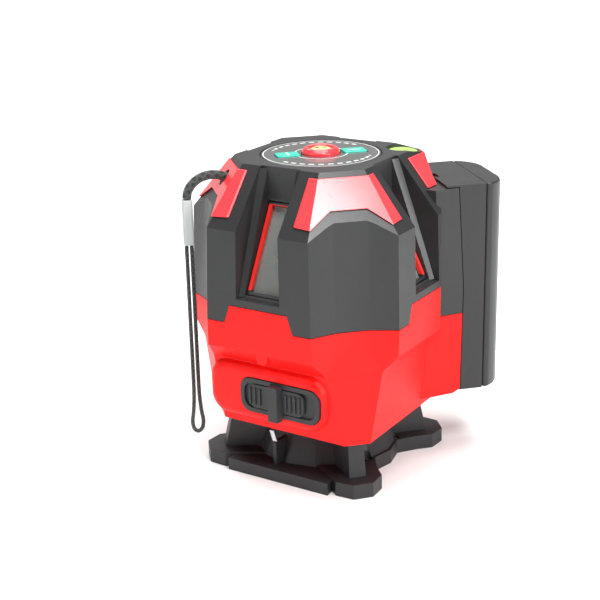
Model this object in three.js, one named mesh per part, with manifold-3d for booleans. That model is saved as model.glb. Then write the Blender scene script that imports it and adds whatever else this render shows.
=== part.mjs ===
// Three-plane self-levelling line laser on a four-lobed turning base.
// Millimetres, +Z up. The origin is on the vertical turning axis, at the floor.
// -Y is the front pillar, +X carries the battery pack, -X carries the wrist strap.
// The four windows face the diagonals, and the lock switch is on the -X -Y diagonal.
import * as THREE from 'three';
import { mergeVertices } from 'three/addons/utils/BufferGeometryUtils.js';
import { ConvexGeometry } from 'three/addons/geometries/ConvexGeometry.js';
import Module from 'manifold-3d';

const wasm = await Module();
wasm.setup();

// ---- driving dimensions -------------------------------------------------------------------
const gap = 0.3; // running and seating clearance between neighbours
const wall = 2.2; // moulded wall of the housing

const top = { z: 126, main: 32.6, corner: 8.6 }; // octagonal roof edge
const shoulder = { z: 104.4, main: 48.6, corner: 17 }; // where the roof meets the pillars
const belt = { z: 68.3, main: 50, corner: 16.9 }; // joint line of the two shells at the pillars
const skirt = { z: 59.3, main: 50.35, corner: 16.9 }; // the pillars carried on below that line
const sill = { z: 76, main: 49.7, corner: 16.9 }; // the lower shell carried on above it
const hip = { z: 57.6, main: 50, corner: 16.7 }; // lowest upright part of the pillar ridges
const neck = { z: 51.5, main: 48.4, corner: 10.9 }; // the narrower body under them, front and back
const neckSide = { main: 47.3, corner: 12 }; // the same, left and right
const foot = { z: 24.5, main: 52, corner: 5 }; // underside of the lower shell, front and back
const footSide = { main: 44, corner: 12.5 }; // underside of the lower shell, left and right
const windowBeltZ = 75.4; // joint line of the two shells under the windows
const beltStep = { lowHalf: 15.4, highHalf: 12.9 }; // foot and top of the raised stretch of that line

// The hollow down a pillar: half width and depth of its floor, and the width it opens to.
const scoop = { half: 6.2, outer: 17, deepTop: 44.5, deepTopZ: 109.95, deepLow: 47.2, lowZ: 59.8 };
const scoopEnd = { half: 10.9, outer: 21.7, deep: 48.4, edge: 51.5, z: 50.9 };

// A window lies on a slope: its distance from the axis, height and half width at both ends.
const pane = { topU: 27.9, topZ: 113.8, lowU: 43.7, lowZ: 78.2, topHalf: 6.4, lowHalf: 8.2 };
const recess = { topHalf: 8.8, lowHalf: 9.8 }; // half width of the channel that holds a window
const glassThick = 1.5;
const trimThick = 2;

// The dock for the battery pack. Its face leans a little, given as [height, distance].
const dock = {
  face: [[27.3, 48.6], [29, 51.4], [72, 52.2], [113, 49.8]], half: 20.4, seat: 46.5, out: 53.5,
  cheek: 9.9, cheekHalf: 22.1, rear: 14.5, rearHalf: 16.5, inner: 28, innerHalf: 12, innerLow: 24.6,
  low: 27.3, shelf: 62, high: 113, beltZ: 61.7,
};
const ridge = { x: 40.9, y: 26, footX: 42.2, footY: 21.8 }; // where a pillar's ridge stops at the dock
const pack = {
  back: 70, half: 20.4, low: 28.5, high: 114, corner: 63.4, flat: 10, lip: 44.9, seam: 61, wall: 1.8,
};
const nose = { half: 16.8, low: 31, high: 111 }; // the part of the pack that nests in the dock
const cell = { radius: 9.1, height: 65, x: 58.8, y: 9.4, low: 38, button: 2.6 };
const contact = { half: 8.4, low: 37, high: 53 }; // spring block that meets the pack's nose

const disc = { radius: 23.7, thick: 1.2 };
const key = { x: 13.3, width: 9.2, depth: 7, height: 1.4 };
const dome = { radius: 7.5, mouth: 4.6 };
const vial = { radius: 6.1, x: 32.9, high: 125, deep: 9, rim: 2.4, cup: 1.2 };
const ledge = { high: 124.3, end: [[124.3, 40.3], [117, 41], [112.9, 42.3]] }; // the roof round the vial

const base = { thick: 6, reach: 49, half: 9.5, chamfer: 5.5, skew: 3.5, high: 21, lip: 37.6, lipHalf: 23.5 };
const arm = { reach: 42.5, topReach: 39, half: 6.5 };
const hub = { radius: 21, low: 21.3, high: 24.2 };
const pad = { radius: 5, u: 41, deep: 1.2 };
const plateHoles = [[27, -11], [11, -27], [-11, 27], [-27, 11]];
const tripodBore = 3.2;
const bush = { radius: 9, low: 0.4, high: 8 };
const pointer = { u: 32.1, thick: 0.8, low: 15.2, high: 19.5, lowV: -3.6, highV: -5, half: 1 };
const screwSpots = [[30, 13], [-30, 13], [-13, -33], [13, -33]];

// The lock on its diagonal: v runs sideways, z up, face is the distance from the axis.
const lock = { v: 7.1, z: 39.2, width: 35.4, height: 13.9, face: 45, corner: 4.6, thick: 2.2 };
const lockWell = { width: 32, height: 10.4, corner: 3.6, deep: 1.1, slotFrom: 1.5, slotTo: 15, slotHalf: 2.7 };
const slider = { v: 5.9, width: 24.6, height: 9.6, low: 1.4, high: 2.4 };
const tab = { v: 5.9, half: 2.6, tipHalf: 2.1, low: -7.9, high: 6.3, tip: 5.3 };
const boss = { radius: 2.6, v: 1, z: 56, face: 46.9 }; // the round stud above the lock
const bulge = { v: 0, z: 39.6, width: 53, height: 23.2, face: 44.5, corner: 8 };

const pivotZ = 107; // height of both gimbal axes
const pinRadius = 1.4;
const core = { half: 13, low: 62, high: 98, tail: 5, tailLow: 46, stud: 2.2, studLow: 39.3 };
const beamZ = 86;
const tube = { radius: 6.5, reach: 25 };
const cone = { radius: 5.6, tip: 1.6, length: 5.7 };
const upright = { u: core.half + gap + tube.radius, low: 64, high: 88 };
const fork = { half: 7.1, thick: 2, low: 39.6, high: 41.4, inner: -5, outer: 33 };

const cord = { thick: 3.6, strand: 1.6, x: -53.4, exitZ: 119 };
const clasp = { half: 2, chamfer: 0.5, high: 111.4, low: 93.3 };

// ---- finishes -----------------------------------------------------------------------------
const finish = (color, roughness, metalness = 0, opacity = 1) => () =>
  new THREE.MeshStandardMaterial({ color, roughness, metalness, opacity, transparent: opacity < 1 });
const charcoal = finish(0x38383a, 0.55);
const red = finish(0xe8262a, 0.35);
const black = finish(0x1b1b1d, 0.5);
const grey = finish(0x9a9a9a, 0.4);
const teal = finish(0x1f9c84, 0.45);
const amber = finish(0xffd07a, 0.2);
const clear = finish(0xc9d2cf, 0.05, 0, 0.35);
const lime = finish(0xb6e33a, 0.1, 0, 0.7);
const steel = finish(0xb9bcc0, 0.3, 1);
const brass = finish(0xc9a357, 0.3, 1);
const aluminium = finish(0xa9adb1, 0.4, 1);
const copper = finish(0xb87333, 0.35, 1);
const board = finish(0x1f6b3a, 0.5);
const rubber = finish(0x222222, 0.9);
const wrap = finish(0x2f6fb0, 0.5);

// ---- shape helpers ------------------------------------------------------------------------
const model = new THREE.Group();

// A geometry with shared vertices merged and its faces pointing out.
function closed(geometry) {
  const g = geometry.clone();
  g.deleteAttribute('normal');
  g.deleteAttribute('uv');
  const merged = mergeVertices(g, 1e-4);
  const at = merged.getAttribute('position');
  const index = merged.getIndex().array;
  const [a, b, c] = [new THREE.Vector3(), new THREE.Vector3(), new THREE.Vector3()];
  let volume = 0;
  for (let i = 0; i < index.length; i += 3) {
    a.fromBufferAttribute(at, index[i]);
    b.fromBufferAttribute(at, index[i + 1]);
    c.fromBufferAttribute(at, index[i + 2]);
    volume += a.dot(b.cross(c));
  }
  if (volume < 0) {
    for (let i = 0; i < index.length; i += 3) {
      [index[i], index[i + 1]] = [index[i + 1], index[i]];
    }
  }
  return merged;
}

function toSolid(geometry) {
  const g = closed(geometry);
  return new wasm.Manifold(
    new wasm.Mesh({
      numProp: 3,
      vertProperties: new Float32Array(g.getAttribute('position').array),
      triVerts: new Uint32Array(g.getIndex().array),
    })
  );
}

function toGeometry(solid) {
  const mesh = solid.getMesh();
  const g = new THREE.BufferGeometry();
  g.setAttribute('position', new THREE.BufferAttribute(new Float32Array(mesh.vertProperties), 3));
  g.setIndex(new THREE.BufferAttribute(new Uint32Array(mesh.triVerts), 1));
  return g;
}

const join = (...shapes) => toGeometry(shapes.map(toSolid).reduce((a, b) => a.add(b)));
const cut = (shape, ...tools) =>
  toGeometry(tools.map(toSolid).reduce((a, b) => a.subtract(b), toSolid(shape)));
const common = (shape, tool) => toGeometry(toSolid(shape).intersect(toSolid(tool)));

const hull = (points) => new ConvexGeometry(points.map((p) => new THREE.Vector3(...p)));

function box(x0, x1, y0, y1, z0, z1) {
  const g = new THREE.BoxGeometry(x1 - x0, y1 - y0, z1 - z0);
  return g.translate((x0 + x1) / 2, (y0 + y1) / 2, (z0 + z1) / 2);
}

// An upright cylinder or cone between two heights.
function drum(radius, z0, z1, sides = 32, topRadius = radius) {
  const g = new THREE.CylinderGeometry(topRadius, radius, z1 - z0, sides);
  return g.rotateX(Math.PI / 2).translate(0, 0, (z0 + z1) / 2);
}

// A cylinder or cone lying along +X between two distances.
function rod(radius, x0, x1, sides = 24, endRadius = radius) {
  const g = new THREE.CylinderGeometry(endRadius, radius, x1 - x0, sides);
  return g.rotateZ(-Math.PI / 2).translate((x0 + x1) / 2, 0, 0);
}

// A profile of [radius, height] points turned about +Z.
function turned(profile, steps = 36) {
  const g = new THREE.LatheGeometry(profile.map((p) => new THREE.Vector2(...p)), steps);
  return g.rotateX(Math.PI / 2);
}

function outline(points) {
  return new THREE.Shape(points.map((p) => new THREE.Vector2(...p)));
}

const slab = (shape, depth) =>
  new THREE.ExtrudeGeometry(shape, { depth, bevelEnabled: false, curveSegments: 5 });

function pill(width, height, radius) {
  const [w, h] = [width / 2, height / 2];
  const s = new THREE.Shape();
  s.moveTo(radius - w, -h);
  s.lineTo(w - radius, -h);
  s.absarc(w - radius, radius - h, radius, -Math.PI / 2, 0);
  s.absarc(w - radius, h - radius, radius, 0, Math.PI / 2);
  s.lineTo(radius - w, h);
  s.absarc(radius - w, h - radius, radius, Math.PI / 2, Math.PI);
  s.absarc(radius - w, radius - h, radius, Math.PI, Math.PI * 1.5);
  return s;
}

// Turns a shape made outward along +X to face another way.
const facing = (geometry, degrees) => geometry.clone().rotateZ(THREE.MathUtils.degToRad(degrees));
const pillars = { right: 0, back: 90, left: 180, front: -90 };
const diagonals = { right_back: 45, left_back: 135, left_front: -135, right_front: -45 };

// Puts a flat shape drawn in (sideways, up) on an upright wall that faces +X at distance u.
const onWall = (geometry, u) =>
  geometry.applyMatrix4(
    new THREE.Matrix4().makeBasis(
      new THREE.Vector3(0, 1, 0), new THREE.Vector3(0, 0, 1), new THREE.Vector3(1, 0, 0)
    ).setPosition(u, 0, 0)
  );

// The same, for the wall that carries the lock.
const onLock = (geometry, u) => facing(onWall(geometry, u), diagonals.left_front);

// Puts a shape drawn in (sideways, up the slope, outward) on the sloping plane of a window.
const paneLength = Math.hypot(pane.lowU - pane.topU, pane.topZ - pane.lowZ);
const paneUp = new THREE.Vector3(pane.topU - pane.lowU, 0, pane.topZ - pane.lowZ).divideScalar(paneLength);
const paneOut = new THREE.Vector3(paneUp.z, 0, -paneUp.x);
const onPane = (geometry) =>
  geometry.applyMatrix4(
    new THREE.Matrix4().makeBasis(new THREE.Vector3(0, 1, 0), paneUp, paneOut).setPosition(
      pane.lowU, 0, pane.lowZ
    )
  );

// Eight corners of an octagon at one height: two on each pillar face.
const ring = ({ z, main, corner }) =>
  [[corner, -main], [-corner, -main], [corner, main], [-corner, main],
    [main, -corner], [main, corner], [-main, -corner], [-main, corner]].map(([x, y]) => [x, y, z]);

const inset = ({ z, main, corner }, by, dz = 0) => ({
  z: z + dz, main: main - by, corner: corner - by * 0.41,
});

function add(name, geometry, material) {
  const mesh = new THREE.Mesh(closed(geometry), material());
  mesh.name = name;
  model.add(mesh);
}

// ---- cutting tools shared by the two shells ------------------------------------------------
// The channel in a diagonal face that a window lies in, grown by a margin.
function windowChannel(grow = 0) {
  const [high, far] = [top.z + 6, 62];
  const [a, b] = [recess.topHalf + grow, recess.lowHalf + grow];
  return hull([
    [pane.topU - grow, -a, high], [pane.topU - grow, a, high],
    [pane.topU - grow, -a, pane.topZ], [pane.topU - grow, a, pane.topZ],
    [pane.lowU - grow, -b, pane.lowZ - grow], [pane.lowU - grow, b, pane.lowZ - grow],
    [far, -b, pane.lowZ - 0.6 - grow], [far, b, pane.lowZ - 0.6 - grow],
    [far, -a, high], [far, a, high],
  ]);
}

// The bevelled strip between a channel's side and its window.
function channelBevel(side) {
  const [a, b] = [recess.topHalf, recess.lowHalf];
  const proud = 2.2;
  return hull([
    [pane.topU - 1, side * pane.topHalf, top.z - 1], [pane.topU, side * pane.topHalf, top.z - 1],
    [pane.topU - 1, side * (a + 1), top.z - 1], [pane.topU + proud, side * (a + 1), top.z - 1],
    [pane.topU, side * pane.topHalf, pane.topZ], [pane.topU + proud, side * (a + 1), pane.topZ + 0.6],
    [pane.topU - 1, side * pane.topHalf, pane.topZ], [pane.topU - 1, side * (a + 1), pane.topZ],
    [pane.lowU, side * pane.lowHalf, pane.lowZ], [pane.lowU + 1.9, side * (b + 1), pane.lowZ + 0.6],
    [pane.lowU - 1, side * pane.lowHalf, pane.lowZ - 0.4], [pane.lowU - 1, side * (b + 1), pane.lowZ - 0.4],
  ]);
}

// The hollow down the face of a pillar, and the flat it runs out into under the pillar's foot.
function scoopTool(shift = 0) {
  const section = (z, half, deep, outer, edge) => [
    [deep - shift, -half, z], [deep - shift, half, z], [edge - shift, -outer, z],
    [edge - shift, outer, z], [66, -outer - 8, z], [66, outer + 8, z],
  ];
  const at = (z) => {
    const t = (z - scoop.lowZ) / (scoop.deepTopZ - scoop.lowZ);
    const deep = scoop.deepLow + (scoop.deepTop - scoop.deepLow) * t;
    const edge = belt.main + (shoulder.main - belt.main) * ((z - belt.z) / (shoulder.z - belt.z));
    return section(z, scoop.half, deep, scoop.outer, edge);
  };
  const low = section(scoopEnd.z, scoopEnd.half, scoopEnd.deep, scoopEnd.outer, scoopEnd.edge);
  return join(hull([...at(scoop.lowZ - 0.01), ...at(top.z)]), hull([...low, ...at(scoop.lowZ)]));
}

// The four-sided opening of a window, drawn up its slope.
function paneOutline(grow, ends) {
  const [a, b] = [pane.topHalf + grow, pane.lowHalf + grow];
  return outline([[-b, ends], [b, ends], [a, paneLength - ends], [-a, paneLength - ends]]);
}

// Everything below the joint line of the two shells, moved down or up by a clearance.
function lowerZone(lift = 0) {
  const [z0, z1] = [belt.z + lift, windowBeltZ + lift];
  const raised = hull([20, 80].flatMap((u) => [
    [u, -beltStep.lowHalf, z0 - 1], [u, beltStep.lowHalf, z0 - 1],
    [u, -beltStep.lowHalf, z0], [u, beltStep.lowHalf, z0],
    [u, -beltStep.highHalf, z1], [u, beltStep.highHalf, z1],
  ]));
  const dockCut = box(ridge.x + 0.5, 90, -24, 24, dock.beltZ + lift, z1 + 5);
  const low = box(-90, 90, -90, 90, -5, z0);
  return cut(join(low, ...Object.values(diagonals).map((d) => facing(raised, d))), dockCut);
}

// How far out the dock's face lies at a height.
function faceAt(z) {
  const above = dock.face.findIndex(([level], i) => (i && level >= z) || i === dock.face.length - 1);
  const [[z0, x0], [z1, x1]] = [dock.face[above - 1], dock.face[above]];
  return x0 + ((x1 - x0) * (z - z0)) / (z1 - z0);
}

const dockLevels = (z0, z1) => [z0, z1, ...dock.face.map(([z]) => z).filter((z) => z > z0 && z < z1)];
const bothSides = ([x, y, z]) => [[x, y, z], [x, -y, z]];

// The upper dock, whose narrow cheeks stand beside the windows.
function dockBlock(z0, z1, by = 0) {
  return hull(dockLevels(z0, z1).flatMap((z) => {
    const x = faceAt(z);
    return [[by ? dock.seat - by : x, dock.half - by, z], [x - dock.cheek - by / 2, dock.cheekHalf - by, z],
      [x - dock.rear, dock.rearHalf - by, z], [dock.inner, dock.innerHalf - by, z]].flatMap(bothSides);
  }));
}

// The dock's lower part, which carries its front and back on under the pillars.
function dockFoot(by = 0) {
  return hull(dockLevels(dock.low + by, dock.shelf + by).flatMap((z) =>
    [[by ? dock.seat - by : faceAt(z), dock.half - by, z], [dock.inner - 2, dock.innerLow - by, z]]
      .flatMap(bothSides)));
}

// The recess between the dock's cheeks.
const dockRecess = () =>
  box(dock.seat, dock.out, -nose.half - gap, nose.half + gap, nose.low - gap, nose.high + gap);

// Takes the ridges of the right pillar away beside the dock.
function ridgeTrim(by = 0) {
  const plan = outline([[ridge.x - by, 50], [ridge.x - by, ridge.y], [ridge.footX - by, ridge.footY - by],
    [56, ridge.footY - by - 2], [56, 50]]);
  const side = slab(plan, 103).translate(0, 0, 10);
  return join(side, slab(outline(plan.getPoints().map((p) => [p.x, -p.y])), 103).translate(0, 0, 10));
}

// ---- housing -------------------------------------------------------------------------------
const upperOuter = (by = 0) =>
  hull([...ring(inset(top, by, -by)), ...ring(inset(shoulder, by, -by * 0.5)), ...ring(inset(skirt, by))]);

// Corners that carry the roof's slanted sides on round the vial, and the cut behind its ledge.
function ledgeCorners(grow = 0) {
  const slope = (shoulder.main + shoulder.corner - top.main - top.corner) / (top.z - shoulder.z);
  const reach = top.main + top.corner + (top.z - ledge.high) * slope + grow * 1.41;
  const x = ledge.end[0][1] + grow;
  return bothSides([x, reach - x, ledge.high]);
}

function ledgeCut(grow = 0) {
  const end = ledge.end.map(([z, x]) => [x + grow, z]);
  const profile = outline([[end[0][0], 135], ...end, [70, ledge.end[2][0]], [70, 135]]);
  return slab(profile, 80).rotateX(Math.PI / 2).translate(0, 40, 0);
}

// Eight corners whose front and back differ from its left and right.
const oblongRing = (front, side) =>
  [[front.corner, front.main], [side.main, side.corner]].flatMap(([x, y]) =>
    [[x, y], [-x, y], [x, -y], [-x, -y]].map(([a, b]) => [a, b, front.z]));

function lowerOuter(by = 0) {
  const [footRing, neckRing] = [[foot, footSide], [neck, neckSide]].map(([front, side], i) =>
    oblongRing(inset(front, by, i ? 0 : by), inset(side, by)));
  const hipRing = ring(inset(hip, by));
  const upright = hull([...hipRing, ...ring(inset(belt, by)), ...ring(inset(sill, by))]);
  return join(hull([...footRing, ...neckRing]), hull([...neckRing, ...hipRing]), upright);
}

// The swelling that carries the lock, rounded off towards its face.
function lockBulge() {
  const levels = [[28, 0], [bulge.face - 3.2, 0], [bulge.face - 1.2, 1], [bulge.face - 0.3, 2.2],
    [bulge.face, 3.3]];
  const points = levels.flatMap(([u, turnIn]) =>
    pill(bulge.width - 2 * turnIn, bulge.height - 2 * turnIn, bulge.corner - turnIn * 0.7)
      .getPoints(5).map((p) => [u, p.x + bulge.v, p.y + bulge.z]));
  return facing(hull(points), diagonals.left_front);
}

const scoopTurns = [pillars.front, pillars.left, pillars.back];
const allAround = (shape, turns = Object.values(diagonals)) => turns.map((d) => facing(shape, d));
const scoopWall = wall * 1.2; // the hollow stands this far behind a scoop
const seatZ = top.z - disc.thick - gap; // floor of the recess that holds the label disc

function upperShell() {
  const roofed = hull([...ring(top), ...ring(shoulder), ...ring(skirt), ...ledgeCorners()]);
  const whole = join(cut(roofed, ridgeTrim(), ledgeCut()), dockBlock(55, dock.high));
  const bevel = join(channelBevel(1), channelBevel(-1));
  const carved = cut(whole, ...allAround(scoopTool(), scoopTurns), ...allAround(windowChannel()));
  const outer = cut(join(carved, ...allAround(common(bevel, windowChannel(1.2)))), lowerZone());
  const cup = drum(vial.radius + gap + vial.cup, vial.high - vial.deep - vial.cup, vial.high)
    .translate(vial.x, 0, 0);
  const hollow = cut(
    join(cut(upperOuter(wall), ridgeTrim(wall)), dockBlock(50, dock.high - wall, wall)),
    ...allAround(windowChannel(wall)), ...allAround(scoopTool(scoopWall), scoopTurns), cup
  );
  const opening = onPane(slab(paneOutline(-0.1, 1), 12).translate(0, 0, -9));
  const keypadWell = join(drum(disc.radius + gap, seatZ, top.z + 1, 40), drum(18.5, top.z - 6, top.z));
  const vialWell = drum(vial.radius + gap, vial.high - vial.deep - gap, vial.high + 2)
    .translate(vial.x, 0, 0);
  return cut(outer, hollow, ...allAround(opening), keypadWell, vialWell, strapHole(), dockRecess());
}

const strapHole = () =>
  rod(cord.thick / 2 + 1.2, 24, 60, 16).rotateZ(Math.PI).translate(0, 0, cord.exitZ);

function lowerShell() {
  const stud = facing(rod(boss.radius, 43, boss.face).translate(0, boss.v, boss.z), diagonals.left_front);
  const solid = join(cut(lowerOuter(), ridgeTrim()), dockBlock(55, 76), dockFoot(), lockBulge(), stud);
  const hollow = cut(
    join(cut(lowerOuter(wall), ridgeTrim(wall)), dockBlock(55, 80, wall), dockFoot(wall)),
    ...allAround(scoopTool(scoopWall), scoopTurns)
  );
  const carved = cut(solid, ...allAround(scoopTool(), scoopTurns), hollow);
  const slot = onLock(slab(pill(lock.width - 9, 6, 2.9), 20).translate(lock.v, lock.z, 0), 34);
  const plate = pill(lock.width + 2 * gap, lock.height + 2 * gap, lock.corner + gap);
  const seat = onLock(slab(plate, 10).translate(lock.v, lock.z, 0), lock.face - lock.thick - gap);
  const hubHole = drum(4, foot.z - 1, foot.z + wall + 1);
  const contactHole = box(dock.seat - wall - 1, dock.out, -contact.half - 0.6, contact.half + 0.6,
    contact.low - 1, contact.high + 1);
  return cut(common(carved, lowerZone(-gap)), slot, seat, hubHole, screwHoles(), dockRecess(), contactHole);
}

const screwHoles = () =>
  join(...screwSpots.map(([x, y]) =>
    drum(1.8, foot.z - 1, foot.z + wall + 1, 12).translate(x, y, 0)));

// ---- roof accents --------------------------------------------------------------------------
// Outline of an accent seen from straight ahead, as [sideways, height].
const accentOutline = [[-20.4, 108.7], [-15.4, 108.3], [-7, 113.9], [7, 113.9], [15.4, 108.3],
  [20.4, 108.7], [12.2, 124.2], [-12.2, 124.2]];

// The roof grown outward by a little, carried on straight down past the shoulder.
const roofBlock = (grow, rise) =>
  hull([...ring(inset(top, -grow, rise)), ...ring(inset(shoulder, -grow)),
    ...ring(inset(shoulder, -grow, -20))]);

// A thin coloured plate that wraps the three slanted faces above a pillar.
function accent() {
  const prism = onWall(slab(outline(accentOutline), 60), 10);
  return cut(common(roofBlock(0.9, 0), prism), roofBlock(0.15, 0.2),
    ...allAround(windowChannel(0.9), [45, -45]));
}

// The accent that wraps the roof round the vial, above the dock.
function dockAccent() {
  const low = dock.high + gap + 0.05;
  const shape = outline([[-17.9, low], [17.9, low], [12.2, 124.2], [-12.2, 124.2]]);
  const block = (grow, rise) => cut(
    hull([...ring(inset(top, -grow, rise)), ...ring(inset(shoulder, -grow)), ...ledgeCorners(grow)]),
    ledgeCut(grow)
  );
  return cut(common(block(0.9, 0), onWall(slab(shape, 40), 25)), block(0.15, 0.2),
    ...allAround(windowChannel(0.9), [45, -45]));
}

// ---- windows -------------------------------------------------------------------------------
function windowTrim() {
  const frame = paneOutline(-0.4, 1.3);
  frame.holes.push(paneOutline(-1.7, 2.6));
  return onPane(slab(frame, trimThick).translate(0, 0, -trimThick - 0.7));
}

const windowGlass = () =>
  onPane(slab(paneOutline(-0.2, 1.2), glassThick).translate(0, 0, -trimThick - 1 - glassThick));

// ---- keypad --------------------------------------------------------------------------------
function labelDisc() {
  const rim = 0.3;
  const plate = turned([[0, 0], [disc.radius, 0], [disc.radius, disc.thick - rim],
    [disc.radius - rim, disc.thick], [0, disc.thick]], 40).translate(0, 0, seatZ + gap);
  const [halfX, halfY] = [key.width / 2 + gap, key.depth / 2 + gap];
  const keyHole = box(-halfX, halfX, -halfY, halfY, seatZ - 1, top.z + 1);
  return cut(plate, keyHole.clone().translate(-key.x, 0, 0), keyHole.translate(key.x, 0, 0),
    drum(dome.radius + gap, seatZ - 1, top.z + 1));
}

function keyCap() {
  const edge = 0.3;
  const cap = new THREE.ExtrudeGeometry(pill(key.width - 2 * edge, key.depth - 2 * edge, 0.8), {
    depth: key.height, bevelEnabled: true, bevelThickness: edge, bevelSize: edge, bevelSegments: 1,
    curveSegments: 3,
  });
  return cap.translate(0, 0, top.z - disc.thick);
}

function domeButton() {
  const z = top.z - disc.thick;
  return turned([[dome.mouth, z], [dome.radius, z], [dome.radius, z + 2.2], [dome.radius - 0.9, z + 3.2],
    [dome.mouth + 1, z + 3.8], [dome.mouth, z + 3.4], [dome.mouth, z]], 32);
}

const domeLens = () =>
  turned([[0, top.z - 1.2], [dome.mouth - gap, top.z - 1.2], [dome.mouth - gap, top.z + 1.6],
    [dome.mouth - 1.4, top.z + 2.1], [0, top.z + 2.3]], 24);

// ---- lock switch ---------------------------------------------------------------------------
// The plate round the switch: a shallow well for the slider, with a slot for its stem.
function lockBezel() {
  const plate = slab(pill(lock.width, lock.height, lock.corner), lock.thick).translate(lock.v, 0, 0);
  const well = slab(pill(lockWell.width, lockWell.height, lockWell.corner), 2)
    .translate(lock.v, 0, lock.thick - lockWell.deep);
  const slot = box(lockWell.slotFrom, lockWell.slotTo, -lockWell.slotHalf, lockWell.slotHalf, -1, 3);
  return onLock(cut(plate, well, slot).translate(0, lock.z, 0), lock.face - lock.thick);
}

// The sliding plate with its grip ribs, its tab and the stem that reaches inside.
function lockSlider() {
  const ribs = [-5.9, -3.7, -1.5, 10.4, 12.4, 14.4, 16.4].map((v) =>
    box(v - 0.4, v + 0.4, -3.4, 3.4, slider.high - 0.4, slider.high + 0.6));
  const plate = slab(pill(slider.width, slider.height, 3), slider.high - slider.low)
    .translate(slider.v, 0, slider.low);
  const grip = hull([[tab.half, slider.high - 0.1], [tab.tipHalf, tab.tip]].flatMap(([half, u]) =>
    [-half, half].flatMap((v) => [[v, tab.low, u], [v, tab.high, u]]))).translate(tab.v, 0, 0);
  const stem = box(-4, 4, -2.4, 2.4, fork.outer - lock.face + lock.thick, slider.low + 0.2)
    .translate(tab.v, 0, 0);
  const whole = join(plate, ...ribs, grip, stem);
  return onLock(whole.translate(0, lock.z, 0), lock.face - lock.thick);
}

// The fork on the slider's stem, whose prongs stand either side of the pendulum's stud.
function lockFork() {
  const outside = fork.half + fork.thick;
  const prong = box(fork.inner, fork.outer - gap, fork.half, outside, fork.low, fork.high);
  const bridge = box(fork.outer - 3, fork.outer - gap, -outside, outside, fork.low - 3, fork.high);
  return facing(join(prong, prong.clone().translate(0, -fork.half - outside, 0), bridge),
    diagonals.left_front);
}

// ---- battery pack --------------------------------------------------------------------------
// Plan of the pack between two distances, with its outer corners turned off in steps.
function packPlan(x0, x1, by = 0) {
  const h = pack.half - by;
  const corner = [[pack.corner, h], [66.6, h - 2.6], [68.9, h - 6], [pack.back - by, pack.flat]]
    .filter(([x]) => x > x0 && x < x1 + 0.01);
  const side = [[x0, h], ...corner, ...(corner.length ? [] : [[x1, h]])];
  return outline([...side, ...side.slice().reverse().map(([x, y]) => [x, -y])]);
}

// The half of the pack that meets the dock, with its nose, its lip over the dock and a finger notch.
function packTray() {
  const [low, high] = [pack.low + pack.wall, pack.high - pack.wall];
  const block = slab(packPlan(pack.lip, pack.seam), pack.high - pack.low).translate(0, 0, pack.low);
  const dockSpace = hull(dockLevels(20, dock.high + gap).flatMap((z) =>
    [[40, 30, z], [faceAt(z) + gap, 30, z]].flatMap(bothSides)));
  const noseBlock = box(dock.seat + gap, dock.out, -nose.half, nose.half, nose.low, nose.high);
  const [noseIn, insideHalf] = [nose.half - pack.wall, pack.half - pack.wall];
  const noseHollow = box(dock.seat + gap + pack.wall, dock.out + 1, -noseIn, noseIn,
    nose.low + pack.wall, nose.high - pack.wall);
  const hollow = box(dock.out + 0.6, pack.seam + 1, -insideHalf, insideHalf, low, high);
  const notch = box(pack.lip - 1, pack.lip + 2.3, -4.5, 1.5, dock.high, pack.high + 1);
  const cradles = [1, -1].map((side) =>
    drum(cell.radius + gap, cell.low - gap, cell.low + cell.height + gap)
      .translate(cell.x, side * cell.y, 0));
  return cut(join(cut(block, dockSpace), noseBlock), hollow, noseHollow, ...cradles, notch);
}

function packCover() {
  const x0 = pack.seam + gap;
  const height = pack.high - pack.low;
  const outer = slab(packPlan(x0, pack.back), height).translate(0, 0, pack.low);
  const hollow = slab(packPlan(x0 - 1, pack.back - pack.wall, pack.wall), height - 2 * pack.wall);
  return cut(outer, hollow.translate(0, 0, pack.low + pack.wall));
}

function cellBody(y) {
  const [r, h] = [cell.radius, cell.height];
  return turned([[0, 0], [r, 0], [r, h - 1], [r - 1, h], [cell.button, h], [cell.button, h + 1.2],
    [0, h + 1.2]], 24).translate(cell.x, y, cell.low);
}

// ---- inside --------------------------------------------------------------------------------
// A flat-sided ring between two radii and two heights.
const washer = (r0, r1, z0, z1, steps = 28) =>
  turned([[r0, z0], [r1, z0], [r1, z1], [r0, z1], [r0, z0]], steps);
const plug = (r, z0, z1, steps = 28) => turned([[0, z0], [r, z0], [r, z1], [0, z1]], steps);
const bothWays = (shape, degrees = 0) => [facing(shape, degrees), facing(shape, degrees + 180)];
const pivotRod = (radius, x0, x1) => rod(radius, x0, x1, 12).translate(0, 0, pivotZ);

// A ring under the roof that carries the gimbal's outer pivots on two lugs.
function gimbalBracket() {
  const lug = box(19, 23, -4.5, 4.5, pivotZ - 4, 114.4);
  return cut(join(washer(18.5, 24.6, 113.6, 116), ...bothWays(lug)),
    ...bothWays(pivotRod(pinRadius + 0.05, 16, 26)));
}

function gimbalRing() {
  const body = washer(12, 15.5, pivotZ - 2.5, pivotZ + 2.5);
  return cut(join(body, ...bothWays(pivotRod(pinRadius, 15, 22.6))),
    ...bothWays(pivotRod(pinRadius + 0.05, 10, 18), 90));
}

// The pendulum's body, hung on its cross pin inside the gimbal ring.
function pendulumCore() {
  const across = core.half / Math.cos(Math.PI / 8);
  const block = new THREE.CylinderGeometry(across, across, core.high - core.low, 8)
    .rotateX(Math.PI / 2).rotateZ(Math.PI / 8).translate(0, 0, (core.high + core.low) / 2);
  const stem = drum(7.5, core.high - 1, pivotZ + 4, 20);
  const tail = drum(core.tail, core.tailLow, core.low + 1, 20);
  const stud = drum(core.stud, core.studLow, core.tailLow + 1, 16);
  return join(block, stem, tail, stud, ...bothWays(pivotRod(pinRadius, 5, 14.8), 90));
}

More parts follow.
